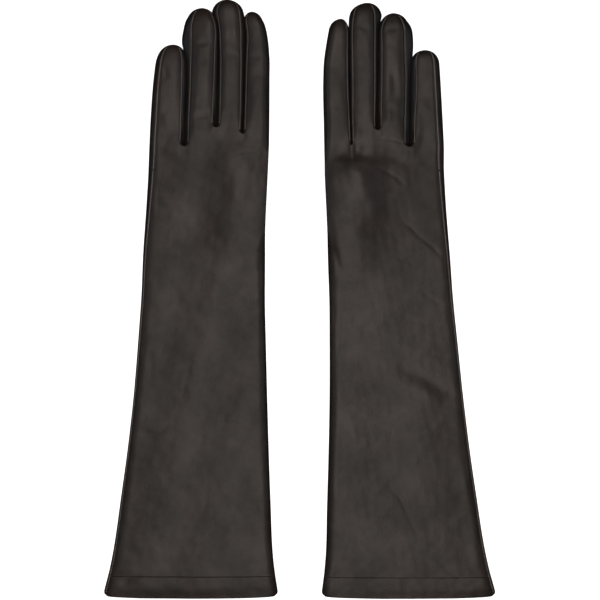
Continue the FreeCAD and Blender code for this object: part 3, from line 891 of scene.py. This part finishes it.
class GloveStage(bpy.types.PropertyGroup):
    key_power: bpy.props.FloatProperty(name="Key light", description="Power of the soft box",
                                       default=7.8, min=0, unit="POWER")
    key_height: length("Key height", "Height of the soft box above the floor", 1.10)
    key_size: length("Key size", "Width of the soft box", 0.50)
    fill_power: bpy.props.FloatProperty(name="Fill light", description="Power of each side light",
                                        default=2.6, min=0, unit="POWER")
    floor_glow: bpy.props.FloatProperty(name="Floor glow", description="Brightness of the floor",
                                        default=1.0, min=0, subtype="FACTOR")


class GLOVE_OT_materials(bpy.types.Operator):
    """Make the leather, strip, thread and silk materials"""
    bl_idname = "glove.materials"
    bl_label = "Materials"

    def execute(self, context):
        colours = context.scene.glove_colours
        leather("glove_leather", colours.leather, 0.42)
        # The strips get the darker colour as painted shade between the fingers.
        leather("glove_strip_painted_shade", colours.strip, 0.40)
        # Light stitch beads: painted highlight of the seams' puckers.
        cloth("glove_stitch_painted_highlight", colours.thread, 0.8, 0.45)
        cloth("glove_silk", colours.silk, 1.2, 0.7)
        return {"FINISHED"}


class GLOVE_OT_leather(bpy.types.Operator):
    """Make the hand and sleeve, the finger panels and the strips between the fingers"""
    bl_idname = "glove.leather"
    bl_label = "Leather"

    def execute(self, context):
        for side in SIDES:
            y = np.union1d(np.linspace(CUFF_END[side], HAND_END, 258),
                           np.linspace(HEM_TOP - 1.6, HEM_TOP + 0.6, 9))
            skin = tube_of("hand_and_sleeve", side, "glove_leather", [
                sleeve_points(side, y, TOP_COLUMNS, True),
                sleeve_points(side, y, BOTTOM_COLUMNS, False)])
            panels = []
            for finger in FINGERS:
                y = finger_rows(side, finger)
                panels.append(tube_of(f"{finger}_panel", side, "glove_leather", [
                    finger_points(side, finger, y, TOP_COLUMNS, True),
                    finger_points(side, finger, y, BOTTOM_COLUMNS, False)]))
                for name, turn in STRIPS[finger].items():
                    strip = make_fourchette(side, finger, turn, name)
                    hang(strip, side, finger, "strip_leather", name)
            share_normals([skin] + panels)
            hang(skin, side, "wrist", "leather", "sleeve_leather", "hand_leather")
            for finger, panel in zip(FINGERS, panels):
                hang(panel, side, finger, "leather", f"{finger}_leather")
        return {"FINISHED"}


class GLOVE_OT_thumbs(bpy.types.Operator):
    """Make the thumbs that lie folded under the hands"""
    bl_idname = "glove.thumbs"
    bl_label = "Thumbs"

    def execute(self, context):
        for side in SIDES:
            hang(make_thumb(side), side, "thumb", "leather", "thumb_leather", "thumb_lining",
                 "thumb_seam")
        return {"FINISHED"}


class GLOVE_OT_stitches(bpy.types.Operator):
    """Sew the finger seams and the side seams"""
    bl_idname = "glove.stitches"
    bl_label = "Stitches"

    def execute(self, context):
        for side in SIDES:
            for finger in FINGERS:
                hang(make_finger_stitches(side, finger), side, finger, "thread",
                     f"{finger}_seams")
            hang(make_side_stitches(side), side, "wrist", "thread", "sleeve_side_seam",
                 "hand_side_seam")
        return {"FINISHED"}


class GLOVE_OT_linings(bpy.types.Operator):
    """Make the turned-in hems and the silk linings"""
    bl_idname = "glove.linings"
    bl_label = "Hems and linings"

    def execute(self, context):
        for side in SIDES:
            make_linings(side)
        return {"FINISHED"}


class GLOVE_OT_stage(bpy.types.Operator):
    """Set up the floor, the lights and the camera"""
    bl_idname = "glove.stage"
    bl_label = "Stage"

    def execute(self, context):
        scene = context.scene
        stage = scene.glove_stage
        mesh = bmesh.new()
        bmesh.ops.create_grid(mesh, x_segments=1, y_segments=1, size=6)
        shade = Shader("pale_floor")
        shade.set(Base_Color=(0.9, 0.9, 0.9, 1), Roughness=0.9, Emission_Color=(1, 1, 1, 1),
                  Emission_Strength=stage.floor_glow)
        floor = finish_mesh("floor", mesh, "pale_floor")
        floor.visible_diffuse = floor.visible_glossy = False
        for name, place, size, power, tint in (
            ("key", (0, -0.10, stage.key_height), stage.key_size, stage.key_power,
             (1.0, 0.93, 0.86)),
            ("left_fill", (-1.3, 0.3, 1.1), 0.8, stage.fill_power, (0.75, 0.85, 1.0)),
            ("right_fill", (1.3, 0.3, 1.1), 0.8, stage.fill_power, (0.75, 0.85, 1.0)),
        ):
            light = bpy.data.lights.new(name, "AREA")
            light.size, light.energy, light.color = size, power, tint
            if name == "key":
                light.shape, light.size_y = "RECTANGLE", size * 3.4
            lamp = bpy.data.objects.new(name, light)
            lamp.location = place
            lamp.rotation_euler = (-Vector(place)).to_track_quat("-Z", "Y").to_euler()
            scene.collection.objects.link(lamp)
        world = bpy.data.worlds.new("studio")
        world.use_nodes = True
        sky = world.node_tree.nodes["Background"].inputs
        sky["Color"].default_value = (0.93, 0.95, 1.0, 1)
        sky["Strength"].default_value = 0.9
        world.cycles_visibility.diffuse = world.cycles_visibility.glossy = False
        scene.world = world
        view = bpy.data.cameras.new("camera")
        view.lens, view.sensor_width = 85, 36
        eye = bpy.data.objects.new("camera", view)
        eye.location = (0, 0, PICTURE_LENGTH / 2 / math.tan(view.angle / 2) + PICTURE_LEVEL)
        scene.collection.objects.link(eye)
        scene.camera = eye
        scene.view_settings.view_transform = "Standard"
        return {"FINISHED"}


class GLOVE_PT_panel(bpy.types.Panel):
    """Lists the gloves' sizes, colours and steps"""
    bl_idname = "GLOVE_PT_panel"
    bl_label = "Long leather gloves"
    bl_space_type = "VIEW_3D"
    bl_region_type = "UI"
    bl_category = "Gloves"

    def draw(self, context):
        for group in (context.scene.glove_shape, context.scene.glove_colours,
                      context.scene.glove_stage):
            for name in group.bl_rna.properties.keys():
                if name not in ("name", "rna_type"):
                    self.layout.prop(group, name)
        for step in STEPS:
            self.layout.operator(step.bl_idname)


GROUPS = {"glove_shape": GloveShape, "glove_colours": GloveColours, "glove_stage": GloveStage}
STEPS = (GLOVE_OT_materials, GLOVE_OT_leather, GLOVE_OT_thumbs, GLOVE_OT_stitches,
         GLOVE_OT_linings, GLOVE_OT_stage)


def register():
    for cls in (*GROUPS.values(), *STEPS, GLOVE_PT_panel):
        bpy.utils.register_class(cls)
    for name, cls in GROUPS.items():
        setattr(bpy.types.Scene, name, bpy.props.PointerProperty(type=cls))


def unregister():
    for name in GROUPS:
        delattr(bpy.types.Scene, name)
    for cls in (GLOVE_PT_panel, *reversed(STEPS), *reversed(GROUPS.values())):
        bpy.utils.unregister_class(cls)


def main():
    register()
    bpy.ops.glove.materials()
    bpy.ops.glove.leather()
    bpy.ops.glove.thumbs()
    bpy.ops.glove.stitches()
    bpy.ops.glove.linings()
    bpy.ops.glove.stage()


if __name__ == "__main__":
    main()
